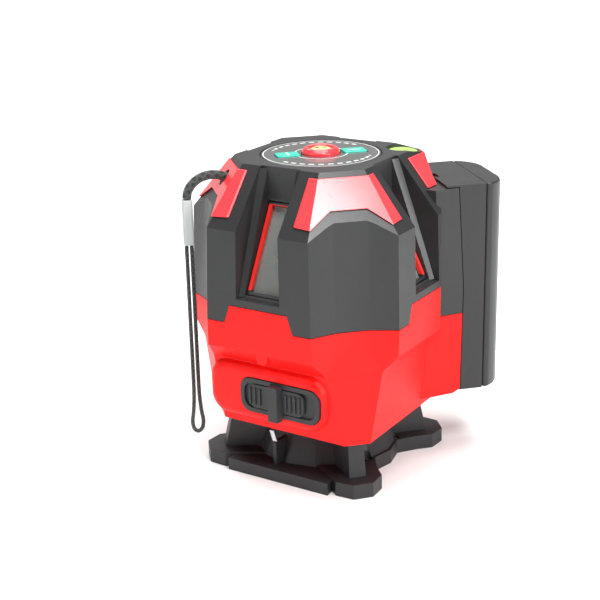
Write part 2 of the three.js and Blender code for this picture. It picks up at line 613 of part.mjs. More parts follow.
// A collimated laser tube lying along +X from the pendulum's body, and the cone before it
// that fans its beam out into a full plane of light.
const laserTube = () => rod(tube.radius, core.half + gap, tube.reach).translate(0, 0, beamZ);
const coneLens = () =>
  rod(cone.radius, tube.reach + gap, tube.reach + gap + cone.length, 24, cone.tip)
    .translate(0, 0, beamZ);
const uprightTube = () => drum(tube.radius, upright.low, upright.high, 24).translate(upright.u, 0, 0);
const uprightCone = () =>
  drum(cone.radius, upright.high + gap, upright.high + gap + cone.length, 24, cone.tip)
    .translate(upright.u, 0, 0);

const balanceWeight = () => washer(core.tail + gap, 14, 47, 58);
const damperDisc = () => washer(core.stud + gap, 16, 43.2, 45.6);

// Magnets over which the copper disc swings, on their stand.
function magnetBase() {
  const floor = foot.z + wall + gap;
  return turned([[0, floor], [12, floor], [12, 33], [17, 34], [17, 38.2], [0, 38.2]], 28);
}

const mainBoard = () => box(37.5, 39.1, -15, 15, 60, 98);
const keyBoard = () => washer(4, 17.6, 118, 119.5);
const contactBlock = () =>
  box(dock.seat - wall - 2, dock.seat - 0.4, -contact.half, contact.half, contact.low, contact.high);

// ---- base ----------------------------------------------------------------------------------
const lobeTurns = [-90 + base.skew, -base.skew, 90 + base.skew, 180 - base.skew];

function lobe() {
  const [r, h, c] = [base.reach, base.half, base.chamfer];
  const side = [[0, h + 6], [18, h + 4.5], [r - 12, h + 0.5], [r - c, h], [r, h - c]];
  const mirrored = side.map(([x, y]) => [x, -y]).reverse();
  return slab(outline([...side, ...mirrored]), base.thick);
}

// A rib that stands on a lobe and carries the hub.
function armPost() {
  const level = (reach, half, z) =>
    [[0, half + 5, z], [0, -half - 5, z], [reach, half, z], [reach, -half, z]];
  return hull([...level(arm.reach, arm.half - 3, base.thick - 1),
    ...level(arm.topReach, arm.half - 3.6, base.high)]);
}

function basePlate() {
  const tread = outline([[0, 4 - base.lipHalf], [base.lip, -base.lipHalf], [base.lip, base.lipHalf],
    [0, base.lipHalf - 4]]);
  const web = slab(outline([[0, -20], [29, -9], [31, 0], [29, 9], [0, 20]]), base.thick);
  const centre = drum(30, base.thick - 1, base.high, 16, 23);
  const fin = box(22, pointer.u + pointer.thick + 0.3, pointer.lowV - 0.8, pointer.lowV + 0.8,
    base.thick - 1, pointer.low - gap);
  const body = join(...allAround(lobe(), lobeTurns),
    facing(slab(tread, base.thick - 0.8), diagonals.left_front),
    ...allAround(web, [45, -45]), ...allAround(armPost(), lobeTurns), centre,
    facing(fin, diagonals.left_front));
  const padSeats = allAround(drum(pad.radius + gap, -1, pad.deep, 20).translate(pad.u, 0, 0), lobeTurns);
  const holes = plateHoles.map(([x, y]) => drum(1.6, -1, base.thick + 3, 12).translate(x, y, 0));
  return cut(body, ...padSeats, drum(bush.radius + gap, -1, 12, 28),
    drum(4.2, 11, base.high + 1, 20), ...holes);
}

const basePad = () => drum(pad.radius, 0, pad.deep - gap / 2, 20).translate(pad.u, 0, 0);

// The small leaning blade over the base that marks the angle the head is turned to.
const indexPointer = () =>
  facing(hull([[pointer.lowV, pointer.low], [pointer.highV, pointer.high]].flatMap(([v, z]) =>
    [v - pointer.half, v + pointer.half].flatMap((y) =>
      [[pointer.u, y, z], [pointer.u + pointer.thick, y, z]]))), diagonals.left_front);

// The threaded bush in the underside of the base, and the screw that holds the head above it.
const tripodBush = () => washer(tripodBore, bush.radius, bush.low, bush.high);
const centreScrew = () =>
  turned([[0, 8.6], [7, 8.6], [7, 11.4], [3.9, 11.4], [3.9, 21], [3.1, 21.2], [3.1, 26.4], [0, 26.4]], 20);
const turntableHub = () => washer(3.4, hub.radius, hub.low, hub.high, 32);
const shellScrew = () =>
  join(drum(3, foot.z + wall + 0.2, foot.z + wall + 2.2, 14),
    drum(1.5, foot.z + 0.4, foot.z + wall + 0.5, 10));

// ---- wrist strap ---------------------------------------------------------------------------
function tubeAlong(points, thick, steps) {
  const path = new THREE.CatmullRomCurve3(points.map((p) => new THREE.Vector3(...p)));
  const section = outline(Array.from({ length: 8 }, (_, i) => {
    const a = (i * Math.PI) / 4;
    return [(thick / 2) * Math.cos(a), (thick / 2) * Math.sin(a)];
  }));
  return new THREE.ExtrudeGeometry(section, { steps, extrudePath: path, bevelEnabled: false });
}

const archRoute = [[-29.5, 0, 116.4], [-33, 0, 117.6], [-37, 0, 119], [-40.5, 0, 120.2], [-44.2, 0, 120.5],
  [-47.8, 0, 119.6], [-50.8, 0, 117.6], [-52.8, 0, 114.8], [-53.4, 0, clasp.high + 0.5]];

// One strand down, round the end and back up, as [distance from the cord's middle, height].
const strandRoute = [[1, clasp.low - gap], [1, 84], [1, 70], [1, 55], [1, 40], [1.1, 30], [1.6, 23],
  [2.2, 18.5], [1.6, 15.2]];
const loopRoute = [
  ...strandRoute.map(([x, z]) => [cord.x - x, 0, z]), [cord.x, 0, 14],
  ...strandRoute.slice().reverse().map(([x, z]) => [cord.x + x, 0, z]),
];

function claspBody() {
  const [far, near] = [clasp.half, clasp.half - clasp.chamfer];
  const plan = [[far, near], [near, far], [-near, far], [-far, near], [-far, -near], [-near, -far],
    [near, -far], [far, -near]];
  return slab(outline(plan), clasp.high - clasp.low).translate(cord.x, 0, clasp.low);
}

const strapPin = () => drum(1.2, 112, 121, 12).translate(-27.6, 0, 0);

// ---- bubble vial ---------------------------------------------------------------------------
const vialBody = () =>
  plug(vial.radius, vial.high - vial.deep, vial.high - vial.rim).translate(vial.x, 0, 0);

function vialLens() {
  const z = vial.high - vial.rim + gap;
  return turned([[0, z], [vial.radius, z], [vial.radius, vial.high - 0.5], [vial.radius - 1.2, vial.high],
    [0, vial.high]], 28).translate(vial.x, 0, 0);
}

// ---- assembly ------------------------------------------------------------------------------
add('base_plate', basePlate(), black);
lobeTurns.forEach((turn, i) => add(`base_pad_${i + 1}`, facing(basePad(), turn), rubber));
add('tripod_bush', tripodBush(), brass);
add('centre_screw', centreScrew(), steel);
add('index_pointer', indexPointer(), steel);
add('turntable_hub', turntableHub(), black);

add('lower_shell', lowerShell(), red);
add('upper_shell', upperShell(), charcoal);
add('accent_front', facing(accent(), pillars.front), red);
add('accent_left', cut(facing(accent(), pillars.left), strapHole()), red);
add('accent_back', facing(accent(), pillars.back), red);
add('accent_right', dockAccent(), red);
for (const [name, turn] of Object.entries(diagonals)) {
  add(`window_trim_${name}`, facing(windowTrim(), turn), red);
  add(`window_glass_${name}`, facing(windowGlass(), turn), clear);
}
screwSpots.forEach(([x, y], i) => add(`shell_screw_${i + 1}`, shellScrew().translate(x, y, 0), steel));

add('label_disc', labelDisc(), grey);
add('vertical_key', keyCap().translate(-key.x, 0, 0), teal);
add('horizontal_key', keyCap().translate(key.x, 0, 0), teal);
add('dome_button', domeButton(), red);
add('dome_lens', domeLens(), amber);
add('key_board', keyBoard(), board);
add('vial_body', vialBody(), lime);
add('vial_lens', vialLens(), clear);

add('lock_bezel', lockBezel(), black);
add('lock_slider', lockSlider(), black);
add('lock_fork', lockFork(), aluminium);

add('gimbal_bracket', gimbalBracket(), aluminium);
add('gimbal_ring', gimbalRing(), brass);
add('pendulum_core', pendulumCore(), aluminium);
for (const name of ['left_front', 'right_front']) {
  add(`laser_${name}`, facing(laserTube(), diagonals[name]), brass);
  add(`cone_${name}`, facing(coneLens(), diagonals[name]), clear);
}
add('laser_upright', facing(uprightTube(), diagonals.right_back), brass);
add('cone_upright', facing(uprightCone(), diagonals.right_back), clear);
add('balance_weight', balanceWeight(), brass);
add('damper_disc', damperDisc(), copper);
add('magnet_base', magnetBase(), steel);
add('main_board', mainBoard(), board);
add('contact_block', contactBlock(), black);

add('pack_tray', packTray(), charcoal);
add('pack_cover', packCover(), charcoal);
add('cell_front', cellBody(-cell.y), wrap);
add('cell_back', cellBody(cell.y), wrap);

add('strap_pin', strapPin(), steel);
add('strap_arch', tubeAlong(archRoute, cord.thick, 16), black);
add('strap_clasp', claspBody(), grey);
add('strap_loop', tubeAlong(loopRoute, cord.strand, 48), black);

export default model;
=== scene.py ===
import bpy, bmesh
from math import cos, hypot, pi, radians, sin
from mathutils import Matrix, Vector


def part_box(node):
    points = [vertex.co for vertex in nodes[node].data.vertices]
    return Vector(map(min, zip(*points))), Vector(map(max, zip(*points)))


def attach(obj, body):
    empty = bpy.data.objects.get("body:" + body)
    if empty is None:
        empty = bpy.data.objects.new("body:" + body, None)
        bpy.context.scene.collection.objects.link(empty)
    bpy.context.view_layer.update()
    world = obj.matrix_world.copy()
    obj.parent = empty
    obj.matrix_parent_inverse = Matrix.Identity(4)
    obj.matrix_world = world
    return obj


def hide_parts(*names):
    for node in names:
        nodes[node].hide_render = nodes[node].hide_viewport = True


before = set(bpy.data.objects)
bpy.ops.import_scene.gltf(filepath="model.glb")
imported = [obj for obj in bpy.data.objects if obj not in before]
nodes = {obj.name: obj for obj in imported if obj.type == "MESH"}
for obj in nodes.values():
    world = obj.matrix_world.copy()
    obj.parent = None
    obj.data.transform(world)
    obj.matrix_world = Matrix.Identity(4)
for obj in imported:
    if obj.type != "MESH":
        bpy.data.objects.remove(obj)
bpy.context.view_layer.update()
mm = 0.001

# ---- camera and room

roomLook = {
    "floorHalf": 2.6,
    "cameraAt": (-0.11678, -0.49293, 0.23904),
    "cameraRight": (0.97532, -0.21967, -0.02225),
    "cameraUp": (0.09176, 0.31155, 0.94579),
    "lens": 79.41,
    "floorColour": (0.83, 0.84, 0.83),
    "skyColour": (1.0, 1.0, 1.0),
    "horizonStrength": 1.0,
    "horizonBand": (0.05, 0.2),
    "skyStrength": 0.2,
    "sunStrength": 3.4,
    "sunAngle": 50,
}

def makeCamera():
    data = bpy.data.cameras.new("mainCamera")
    data.lens = roomLook["lens"]
    data.sensor_width = 36
    data.clip_start = 0.01
    camera = bpy.data.objects.new("mainCamera", data)
    bpy.context.scene.collection.objects.link(camera)
    right = Vector(roomLook["cameraRight"]).normalized()
    up = Vector(roomLook["cameraUp"])
    up = (up - right * up.dot(right)).normalized()
    back = right.cross(up)
    turn = Matrix((right, up, back)).transposed()
    camera.matrix_world = Matrix.Translation(roomLook["cameraAt"]) @ turn.to_4x4()
    bpy.context.scene.camera = camera

def makeRoom():
    bm = bmesh.new()
    bmesh.ops.create_grid(bm, x_segments=1, y_segments=1, size=roomLook["floorHalf"])
    mesh = bpy.data.meshes.new("floor")
    bm.to_mesh(mesh)
    bm.free()
    floor = bpy.data.objects.new("floor", mesh)
    bpy.context.scene.collection.objects.link(floor)
    paint = bpy.data.materials.new("floorPaint")
    paint.use_nodes = True
    shader = paint.node_tree.nodes["Principled BSDF"]
    shader.inputs["Base Color"].default_value = (*roomLook["floorColour"], 1)
    shader.inputs["Roughness"].default_value = 0.7
    mesh.materials.append(paint)
    sky = bpy.data.worlds.new("sky")
    sky.use_nodes = True
    sky.node_tree.nodes["Background"].inputs["Color"].default_value = (*roomLook["skyColour"], 1)
    # bright at and under the horizon, dimmer above it
    add = sky.node_tree.nodes.new
    coords, split, fade = add("ShaderNodeTexCoord"), add("ShaderNodeSeparateXYZ"), add("ShaderNodeMapRange")
    low, high = roomLook["horizonBand"]
    for key, number in (("From Min", low), ("From Max", high), ("To Min", roomLook["horizonStrength"]),
                        ("To Max", roomLook["skyStrength"])):
        fade.inputs[key].default_value = number
    sky.node_tree.links.new(coords.outputs["Generated"], split.inputs[0])
    sky.node_tree.links.new(split.outputs[2], fade.inputs["Value"])
    sky.node_tree.links.new(fade.outputs["Result"], sky.node_tree.nodes["Background"].inputs["Strength"])
    bpy.context.scene.world = sky
    bpy.context.scene.view_settings.view_transform = "Standard"

# name, place, what it points at, width, height, watts
roomLights = [
    ("frontLight", (0.2, -0.85, 1.2), (0, 0, 0.09), 0.3, 0.3, 12),
    ("rightLight", (0.75, -1.15, 0.45), (0, 0, 0.06), 0.22, 0.6, 9),
    ("leftLight", (-1.2, -0.35, 0.6), (0, 0, 0.07), 0.15, 0.6, 1.8),
    ("backLight", (0.1, 1.0, 1.1), (0, 0, 0.1), 1.2, 0.6, 9),
]

def makeLights():
    for name, place, target, width, height, watts in roomLights:
        data = bpy.data.lights.new(name, "AREA")
        data.shape = "RECTANGLE"
        data.size = width
        data.size_y = height
        data.energy = watts
        lamp = bpy.data.objects.new(name, data)
        bpy.context.scene.collection.objects.link(lamp)
        lamp.location = place
        lamp.rotation_euler = (Vector(target) - Vector(place)).to_track_quat("-Z", "Y").to_euler()

def makeSun():
    # a wide soft sun straight overhead, which lights the floor evenly
    data = bpy.data.lights.new("sun", "SUN")
    data.energy = roomLook["sunStrength"]
    data.angle = radians(roomLook["sunAngle"])
    sun = bpy.data.objects.new("sun", data)
    bpy.context.scene.collection.objects.link(sun)
    sun.location = (0, 0, 2)

makeCamera()
makeRoom()
makeLights()
makeSun()
print("camera and room ready")

# ---- finishes

class Paint:
    # a material whose shader and texture nodes are added one at a time
    def __init__(self, name):
        self.material = bpy.data.materials.new(name)
        self.material.use_nodes = True
        self.tree = self.material.node_tree
        self.shader = self.tree.nodes["Principled BSDF"]
        self.coords = self.add("ShaderNodeTexCoord")
        self.at = self.coords.outputs["Object"]

    def add(self, kind, **values):
        node = self.tree.nodes.new(kind)
        for key, value in values.items():
            setattr(node, key, value)
        return node

    def link(self, a, b):
        self.tree.links.new(a, b)

    def set(self, **values):
        for key, value in values.items():
            self.shader.inputs[key.replace("_", " ")].default_value = value

    def noise(self, scale, detail=3, roughness=0.55, at=None):
        node = self.add("ShaderNodeTexNoise")
        node.inputs["Scale"].default_value = scale
        node.inputs["Detail"].default_value = detail
        node.inputs["Roughness"].default_value = roughness
        self.link(at or self.at, node.inputs["Vector"])
        return node.outputs["Fac"]

    def math(self, operation, a, b=None, clamp=False):
        node = self.add("ShaderNodeMath", operation=operation, use_clamp=clamp)
        for i, value in enumerate([a, b]):
            if value is None:
                continue
            if isinstance(value, (int, float)):
                node.inputs[i].default_value = value
            else:
                self.link(value, node.inputs[i])
        return node.outputs[0]

    def spread(self, value, low, high, outLow=0, outHigh=1):
        node = self.add("ShaderNodeMapRange")
        for key, number in (("From Min", low), ("From Max", high), ("To Min", outLow), ("To Max", outHigh)):
            node.inputs[key].default_value = number
        self.link(value, node.inputs["Value"])
        return node.outputs["Result"]

    def mix(self, factor, a, b):
        node = self.add("ShaderNodeMix", data_type="RGBA")
        self.link(factor, node.inputs[0])
        for socket, value in ((node.inputs[6], a), (node.inputs[7], b)):
            if isinstance(value, tuple):
                socket.default_value = (*value[:3], 1)
            else:
                self.link(value, socket)
        return node.outputs[2]

    def bump(self, height, strength, distance):
        node = self.add("ShaderNodeBump")
        node.inputs["Strength"].default_value = strength
        node.inputs["Distance"].default_value = distance
        self.link(height, node.inputs["Height"])
        self.link(node.outputs["Normal"], self.shader.inputs["Normal"])

    def colour(self, value):
        self.link(value, self.shader.inputs["Base Color"])

    def rough(self, value):
        self.link(value, self.shader.inputs["Roughness"])

def moulded(name, look):
    # moulded plastic: fine grain, cloudy colour and a roughness that varies a little
    p = Paint(name)
    cloud = p.noise(look.get("cloudScale", 18), 4)
    p.colour(p.mix(p.spread(cloud, 0.3, 0.7), look["colour"], look["shade"]))
    grain = p.noise(look["grainScale"], 2, 0.6)
    p.rough(p.spread(p.noise(55, 4), 0.3, 0.7, look["rough"][0], look["rough"][1]))
    p.bump(grain, look["grain"], 0.0004)
    p.set(IOR=look.get("ior", 1.46))
    if "coat" in look:
        p.set(Coat_Weight=look["coat"], Coat_Roughness=look.get("coatRough", 0.12))
    return p.material

def metal(name, look):
    # turned or cast metal: fine scratches and a mottled sheen
    p = Paint(name)
    scratch = p.noise(look["scale"], 5, 0.7)
    p.colour(p.mix(p.spread(scratch, 0.25, 0.75), look["colour"], look["shade"]))
    p.rough(p.spread(p.noise(look["scale"] * 0.4, 3), 0.3, 0.7, look["rough"][0], look["rough"][1]))
    p.bump(scratch, look["grain"], 0.0002)
    p.set(Metallic=1.0)
    return p.material

def clearPane(name, look):
    p = Paint(name)
    smear = p.noise(60, 3)
    p.rough(p.spread(smear, 0.3, 0.7, look["rough"][0], look["rough"][1]))
    p.colour(p.mix(p.spread(p.noise(25, 2), 0.3, 0.7), look["colour"], look["shade"]))
    p.set(Alpha=look["alpha"], IOR=1.5, Coat_Weight=0.4, Coat_Roughness=0.05)
    # painted glow: a pane with a glow value gives off light of its own though it is no lamp
    if "paintedGlow" in look:
        p.set(Emission_Color=(*look["colour"], 1), Emission_Strength=look["paintedGlow"])
    return p.material

plasticLooks = {
    "redBody": {"colour": (0.90, 0.010, 0.009), "shade": (0.84, 0.007, 0.006), "grainScale": 2600,
                "grain": 0.06, "rough": (0.36, 0.44), "ior": 1.27},
    "redAccent": {"colour": (0.92, 0.05, 0.06), "shade": (0.86, 0.04, 0.05), "grainScale": 2600,
                  "grain": 0.05, "rough": (0.26, 0.34), "coat": 0.4, "coatRough": 0.15},
    "charcoal": {"colour": (0.027, 0.027, 0.028), "shade": (0.021, 0.021, 0.022), "grainScale": 1500,
                 "grain": 0.16, "rough": (0.38, 0.46), "coat": 0.2, "coatRough": 0.2, "ior": 1.35},
    "blackPlastic": {"colour": (0.022, 0.022, 0.024), "shade": (0.017, 0.017, 0.019), "grainScale": 1500,
                     "grain": 0.2, "rough": (0.4, 0.5)},
    "rubberPad": {"colour": (0.02, 0.02, 0.02), "shade": (0.032, 0.032, 0.032), "grainScale": 900,
                  "grain": 0.5, "rough": (0.75, 0.9)},
    "clasp": {"colour": (0.48, 0.51, 0.50), "shade": (0.42, 0.45, 0.44), "grainScale": 1500,
              "grain": 0.15, "rough": (0.4, 0.5)},
    "board": {"colour": (0.012, 0.13, 0.045), "shade": (0.008, 0.10, 0.035), "grainScale": 700,
              "grain": 0.2, "rough": (0.3, 0.42)},
    "cellWrap": {"colour": (0.03, 0.15, 0.42), "shade": (0.024, 0.12, 0.36), "grainScale": 500,
                 "grain": 0.1, "rough": (0.25, 0.35)},
    "innerPlastic": {"colour": (0.05, 0.05, 0.05), "shade": (0.04, 0.04, 0.04), "grainScale": 900,
                     "grain": 0.2, "rough": (0.5, 0.6)},
}
metalLooks = {
    "steel": {"colour": (0.56, 0.57, 0.58), "shade": (0.46, 0.47, 0.48), "scale": 900, "grain": 0.2,
              "rough": (0.22, 0.34)},
    "brass": {"colour": (0.66, 0.45, 0.16), "shade": (0.56, 0.37, 0.12), "scale": 900, "grain": 0.2,
              "rough": (0.24, 0.36)},
    "aluminium": {"colour": (0.58, 0.59, 0.60), "shade": (0.5, 0.51, 0.52), "scale": 700, "grain": 0.3,
                  "rough": (0.32, 0.45)},
    "copper": {"colour": (0.72, 0.33, 0.17), "shade": (0.6, 0.26, 0.13), "scale": 700, "grain": 0.2,
               "rough": (0.25, 0.38)},
}
paneLooks = {
    "windowGlass": {"colour": (0.40, 0.43, 0.41), "shade": (0.33, 0.36, 0.34), "alpha": 0.45,
                    "rough": (0.04, 0.1)},
    # the vial pane has a painted glow
    "vialGlass": {"colour": (0.75, 0.98, 0.35), "shade": (0.65, 0.92, 0.28), "alpha": 0.4,
                  "rough": (0.03, 0.07), "paintedGlow": 0.5},
}
finishes = {name: moulded(name, look) for name, look in plasticLooks.items()}
finishes.update({name: metal(name, look) for name, look in metalLooks.items()})
finishes.update({name: clearPane(name, look) for name, look in paneLooks.items()})

# ---- printed and two-coloured finishes, with a painted rim highlight on the dome lens and a painted glow in the vial

def flatRadius(p, x0, y0):
    # x, y and distance from an upright line, and the height, all in mm
    split = p.add("ShaderNodeSeparateXYZ")
    p.link(p.at, split.inputs[0])
    x = p.math("SUBTRACT", p.math("MULTIPLY", split.outputs[0], 1000), x0)
    y = p.math("SUBTRACT", p.math("MULTIPLY", split.outputs[1], 1000), y0)
    r = p.math("SQRT", p.math("ADD", p.math("MULTIPLY", x, x), p.math("MULTIPLY", y, y)))
    return x, y, r, p.math("MULTIPLY", split.outputs[2], 1000)

def band(p, value, low, high):
    # 1 between two values and 0 outside them
    return p.math("MULTIPLY", p.math("GREATER_THAN", value, low), p.math("LESS_THAN", value, high))

def plastic(p, colour, shade, grain=0.1):
    base = p.mix(p.spread(p.noise(30, 3), 0.3, 0.7), colour, shade)
    p.rough(p.spread(p.noise(60, 3), 0.3, 0.7, 0.34, 0.44))
    p.bump(p.noise(1800, 2), grain, 0.0003)
    return base

def middleOf(node):
    # the middle of a CAD node seen from above, in mm
    low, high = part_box(node)
    return [(low[i] + high[i]) / 2 / mm for i in (0, 1)]

labelLook = {"colour": (0.10, 0.105, 0.10), "shade": (0.08, 0.085, 0.08), "print": (0.80, 0.82, 0.80),
             "dark": (0.04, 0.04, 0.04), "dashes": (19.2, 20.4), "dashCount": 34, "innerRing": (10.2, 10.7),
             "outerRing": (22.4, 22.8)}

def labelPlate():
    # a dark grey plate with a pale line round it and plain light dashes in place of its legends
    p = Paint("labelPlate")
    base = plastic(p, labelLook["colour"], labelLook["shade"])
    x, y, r, z = flatRadius(p, 0, 0)
    angle = p.math("ARCTAN2", y, x)
    stripes = p.math("SINE", p.math("MULTIPLY", angle, labelLook["dashCount"]))
    frontAndBack = p.math("GREATER_THAN", p.math("ABSOLUTE", p.math("SINE", angle)), 0.5)
    dashes = p.math("MULTIPLY", band(p, r, *labelLook["dashes"]), p.math("GREATER_THAN", stripes, -0.3))
    dashes = p.math("MULTIPLY", dashes, frontAndBack)
    marks = p.math("MAXIMUM", dashes, band(p, r, *labelLook["innerRing"]))
    marks = p.math("MAXIMUM", marks, band(p, r, *labelLook["outerRing"]))
    ringed = p.mix(p.math("GREATER_THAN", r, labelLook["outerRing"][1]), base, labelLook["dark"])
    p.colour(p.mix(marks, ringed, labelLook["print"]))
    p.set(Coat_Weight=0.5, Coat_Roughness=0.12)
    return p.material

keyLook = {"colour": (0.02, 0.50, 0.36), "shade": (0.016, 0.44, 0.32), "print": (0.75, 0.95, 0.85)}

def keyTop(name, node, halfX, halfY):
    # a key with a plain bar on it
    p = Paint(name)
    base = plastic(p, keyLook["colour"], keyLook["shade"])
    x, y, r, z = flatRadius(p, *middleOf(node))
    bar = p.math("MULTIPLY", band(p, x, -halfX, halfX), band(p, y, -halfY, halfY))
    p.colour(p.mix(bar, base, keyLook["print"]))
    return p.material

# the pale rim colour is a painted highlight
lampLook = {"middle": (0.95, 0.62, 0.24), "rim": (1.0, 0.80, 0.45), "spot": (0.34, 0.17, 0.04),
            "fade": (1.5, 4.2), "spotAt": 1.6, "spotEdge": (0.7, 1.1)}

def domeLamp():
    # an amber lens that pales towards its edge as a painted highlight, with two dark spots under it
    p = Paint("domeLamp")
    x, y, r, z = flatRadius(p, 0, 0)
    # painted highlight: the lens colour fades from the amber middle to the pale rim colour
    base = p.mix(p.spread(r, *lampLook["fade"]), lampLook["middle"], lampLook["rim"])
    side = p.math("SUBTRACT", p.math("ABSOLUTE", x), lampLook["spotAt"])
    spot = p.math("SQRT", p.math("ADD", p.math("MULTIPLY", side, side), p.math("MULTIPLY", y, y)))
    p.colour(p.mix(p.spread(spot, *lampLook["spotEdge"]), lampLook["spot"], base))
    p.rough(p.spread(p.noise(80, 2), 0.3, 0.7, 0.08, 0.14))
    p.bump(p.noise(700, 2), 0.05, 0.0002)
    p.set(Coat_Weight=0.6, Coat_Roughness=0.05)
    return p.material

# the glow colour and strength are a painted glow in the liquid
vialLook = {"liquid": (0.42, 0.90, 0.02), "shade": (0.36, 0.82, 0.02), "ring": (0.03, 0.10, 0.02),
            "bubble": (0.75, 1.0, 0.35), "ringAt": (2.5, 2.9), "bubbleRadius": 1.9, "bubbleOff": 0.3,
            "paintedGlow": (0.45, 0.95, 0.05), "paintedGlowStrength": 0.45}

def vialLiquid():
    # bright liquid with the vial's ring and its bubble, and a painted glow of its own though it is no lamp
    p = Paint("vialLiquid")
    middleX, middleY = middleOf("vial_body")
    x, y, r, z = flatRadius(p, middleX, middleY)
    base = p.mix(p.spread(p.noise(120, 2), 0.3, 0.7), vialLook["liquid"], vialLook["shade"])
    ringed = p.mix(band(p, r, *vialLook["ringAt"]), base, vialLook["ring"])
    off = vialLook["bubbleOff"]
    x, y, fromBubble, z = flatRadius(p, middleX + off, middleY + off)
    bubble = p.math("LESS_THAN", fromBubble, vialLook["bubbleRadius"])
    p.colour(p.mix(bubble, ringed, vialLook["bubble"]))
    p.rough(p.spread(p.noise(90, 2), 0.3, 0.7, 0.1, 0.16))
    p.bump(bubble, 0.4, 0.0003)
    # painted glow: the liquid gives off light of its own though it is no lamp
    p.set(Coat_Weight=0.5, Coat_Roughness=0.04, Emission_Color=(*vialLook["paintedGlow"], 1),
          Emission_Strength=vialLook["paintedGlowStrength"])
    return p.material

trimLook = {"red": (0.86, 0.03, 0.02), "shade": (0.78, 0.02, 0.015), "dark": (0.02, 0.02, 0.022),
            "redFrom": 80.7, "redTo": 111.4}

def windowFrame():
    # the trim is red down its sides and dark across its ends
    p = Paint("windowFrame")
    x, y, r, z = flatRadius(p, 0, 0)
    red = plastic(p, trimLook["red"], trimLook["shade"])
    p.colour(p.mix(band(p, z, trimLook["redFrom"], trimLook["redTo"]), trimLook["dark"], red))
    return p.material

finishes["labelPlate"] = labelPlate()
finishes["verticalTop"] = keyTop("verticalTop", "vertical_key", 0.4, 2.1)
finishes["horizontalTop"] = keyTop("horizontalTop", "horizontal_key", 2.8, 0.4)
finishes["domeLamp"] = domeLamp()
finishes["vialLiquid"] = vialLiquid()
finishes["windowFrame"] = windowFrame()
print("finishes ready")

# ---- helpers for pieces

def finished(bm, name, body, finish, smoothAngle=35):
    # the bmesh becomes a piece that rides on a body
    mesh = bpy.data.meshes.new(name)
    bm.to_mesh(mesh)
    bm.free()
    for polygon in mesh.polygons:
        polygon.use_smooth = True
    mesh.set_sharp_from_angle(angle=radians(smoothAngle))
    mesh.materials.append(finishes[finish])
    piece = bpy.data.objects.new(name, mesh)
    bpy.context.scene.collection.objects.link(piece)
    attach(piece, body)
    return piece

def mergedCopy(node):
    # a closed copy of a CAD node whose flat faces are whole again
    bm = bmesh.new()
    bm.from_mesh(nodes[node].data)
    bmesh.ops.remove_doubles(bm, verts=bm.verts, dist=2e-6)
    bmesh.ops.dissolve_limit(bm, angle_limit=radians(0.6), use_dissolve_boundaries=False,
                             verts=bm.verts, edges=bm.edges)
    bmesh.ops.triangulate(bm, faces=bm.faces, ngon_method="BEAUTY")
    return bm

def softened(node, body, finish, width, segments=2, angle=24, smoothAngle=40):
    # a CAD node with its hard edges rounded over
    bm = mergedCopy(node)
    hard = [e for e in bm.edges if len(e.link_faces) == 2 and abs(e.calc_face_angle(0)) > radians(angle)]
    bmesh.ops.bevel(bm, geom=hard, offset=width * mm, offset_type="OFFSET", segments=segments, profile=0.5,
                    affect="EDGES", clamp_overlap=True, material=-1)
    piece = finished(bm, node + "_look", body, finish, smoothAngle)
    weight = piece.modifiers.new("weight", "WEIGHTED_NORMAL")
    weight.keep_sharp = True
    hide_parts(node)
    return piece

def dress(node, finish):
    # a CAD node that stays as it is, with a finish of its own
    target = nodes[node]
    target.data.materials.clear()
    target.data.materials.append(finishes[finish])

# ---- wrist strap

strapLook = {"strandRadius": 0.8, "archRadius": 1.8, "claspEdge": 0.5, "sides": 16, "stepsPerSpan": 6,
             "threads": 4, "dark": (0.012, 0.016, 0.014), "light": (0.045, 0.055, 0.05)}
strapX = -53.4
strandPath = [(1, 93.0), (1, 84), (1, 70), (1, 55), (1, 40), (1.1, 30), (1.6, 23), (2.2, 18.5), (1.6, 15.2)]
loopPath = ([(strapX - x, 0, z) for x, z in strandPath] + [(strapX, 0, 14)]
            + [(strapX + x, 0, z) for x, z in reversed(strandPath)])
archPath = [(-29.5, 0, 116.4), (-33, 0, 117.6), (-37, 0, 119), (-40.5, 0, 120.2), (-44.2, 0, 120.5),
            (-47.8, 0, 119.6), (-50.8, 0, 117.6), (-52.8, 0, 114.8), (-53.4, 0, 111.9)]

def braid():
    # two families of diagonal threads, drawn along and round the cord, with painted shade darkening the
    # grooves between them
    p = Paint("braid")
    split = p.add("ShaderNodeSeparateXYZ")
    p.link(p.coords.outputs["UV"], split.inputs[0])
    along, round_ = split.outputs[0], split.outputs[1]
    waves = []
    for turn in (1, -1):
        twist = p.math("MULTIPLY", round_, turn * 2 * pi * strapLook["threads"])
        waves.append(p.math("SINE", p.math("ADD", p.math("MULTIPLY", along, 2 * pi), twist)))
    height = p.math("MAXIMUM", waves[0], waves[1])
    # painted shade: the colour follows the thread height, so the grooves between threads get the dark
    # colour
    shade = p.spread(height, -0.2, 1)
    p.colour(p.mix(shade, strapLook["dark"], strapLook["light"]))
    p.rough(p.spread(p.noise(900, 2), 0.3, 0.7, 0.7, 0.9))
    p.bump(height, 0.6, 0.0003)
    p.set(Sheen_Weight=0.3, Sheen_Roughness=0.5)
    return p.material

finishes["braid"] = braid()

